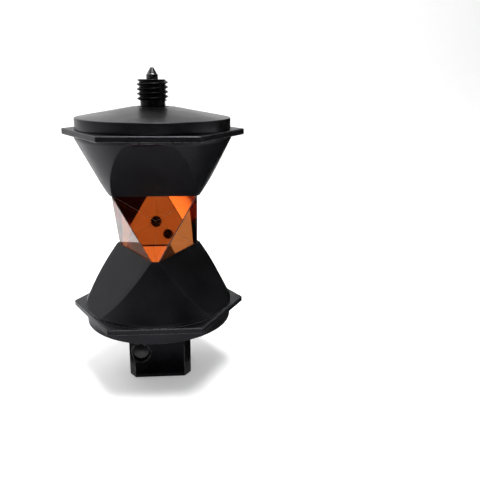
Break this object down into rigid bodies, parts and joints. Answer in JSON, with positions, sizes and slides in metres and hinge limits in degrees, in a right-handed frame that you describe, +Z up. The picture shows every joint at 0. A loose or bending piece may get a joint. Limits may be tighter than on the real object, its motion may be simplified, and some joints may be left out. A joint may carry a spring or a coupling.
{
  "type": "survey prism",
  "caption": "All-round surveying prism: corner-cube prisms between two black funnel housings, threaded stud with pointer on top, snap-in socket with release button below.",
  "frame": {"origin": "centre of the socket's bottom face, the point the prism stands on", "axes": "+Z up along the stud and socket axis, the release button faces -Y, flange corners on +X and -X"},
  "size_m": [0.0932, 0.081, 0.166],
  "materials": {
    "housing": "satin moulded black",
    "cover": "satin moulded black",
    "block": "satin moulded black",
    "button": "satin black",
    "stud": "black oxide steel",
    "tip": "polished black steel",
    "prism_glass": "polished glass, copper-coated backs",
    "core_alloy": "machined",
    "rubber": "matt",
    "zinc_steel": "zinc plated",
    "spring_steel": "bright",
    "bush": "turned stainless"
  },
  "bodies": {
    "prism_body": {"point_tip": "tip", "threaded_stud": "stud", "top_cover": "cover", "top_seal": "rubber", "stud_washer": "zinc_steel", "stud_nut": "zinc_steel", "upper_housing": "housing", "core_screw_upper": "zinc_steel", "upper_gasket": "rubber", "upper_core": "core_alloy", "prism_1": "prism_glass", "prism_2": "prism_glass", "prism_3": "prism_glass", "prism_4": "prism_glass", "prism_5": "prism_glass", "prism_6": "prism_glass", "lower_core": "core_alloy", "lower_gasket": "rubber", "core_screw_lower": "zinc_steel", "lower_housing": "housing", "bottom_cover": "cover", "bottom_seal": "rubber", "socket_screw_1": "zinc_steel", "socket_screw_2": "zinc_steel", "socket_screw_3": "zinc_steel", "socket_screw_4": "zinc_steel", "socket_block": "block", "socket_bush": "bush", "plunger_spring": "spring_steel", "retaining_pin": "spring_steel"},
    "release_button": {"release_plunger": "button"}
  },
  "joints": [
    {"name": "release_button_slide", "type": "slide", "parent": "prism_body", "child": "release_button", "axis": [0, 1, 0], "range_m": [0, 0.003], "stiffness_N_per_m": 600, "springref_m": -0.003, "deforming": ["plunger_spring"]}
  ]
}
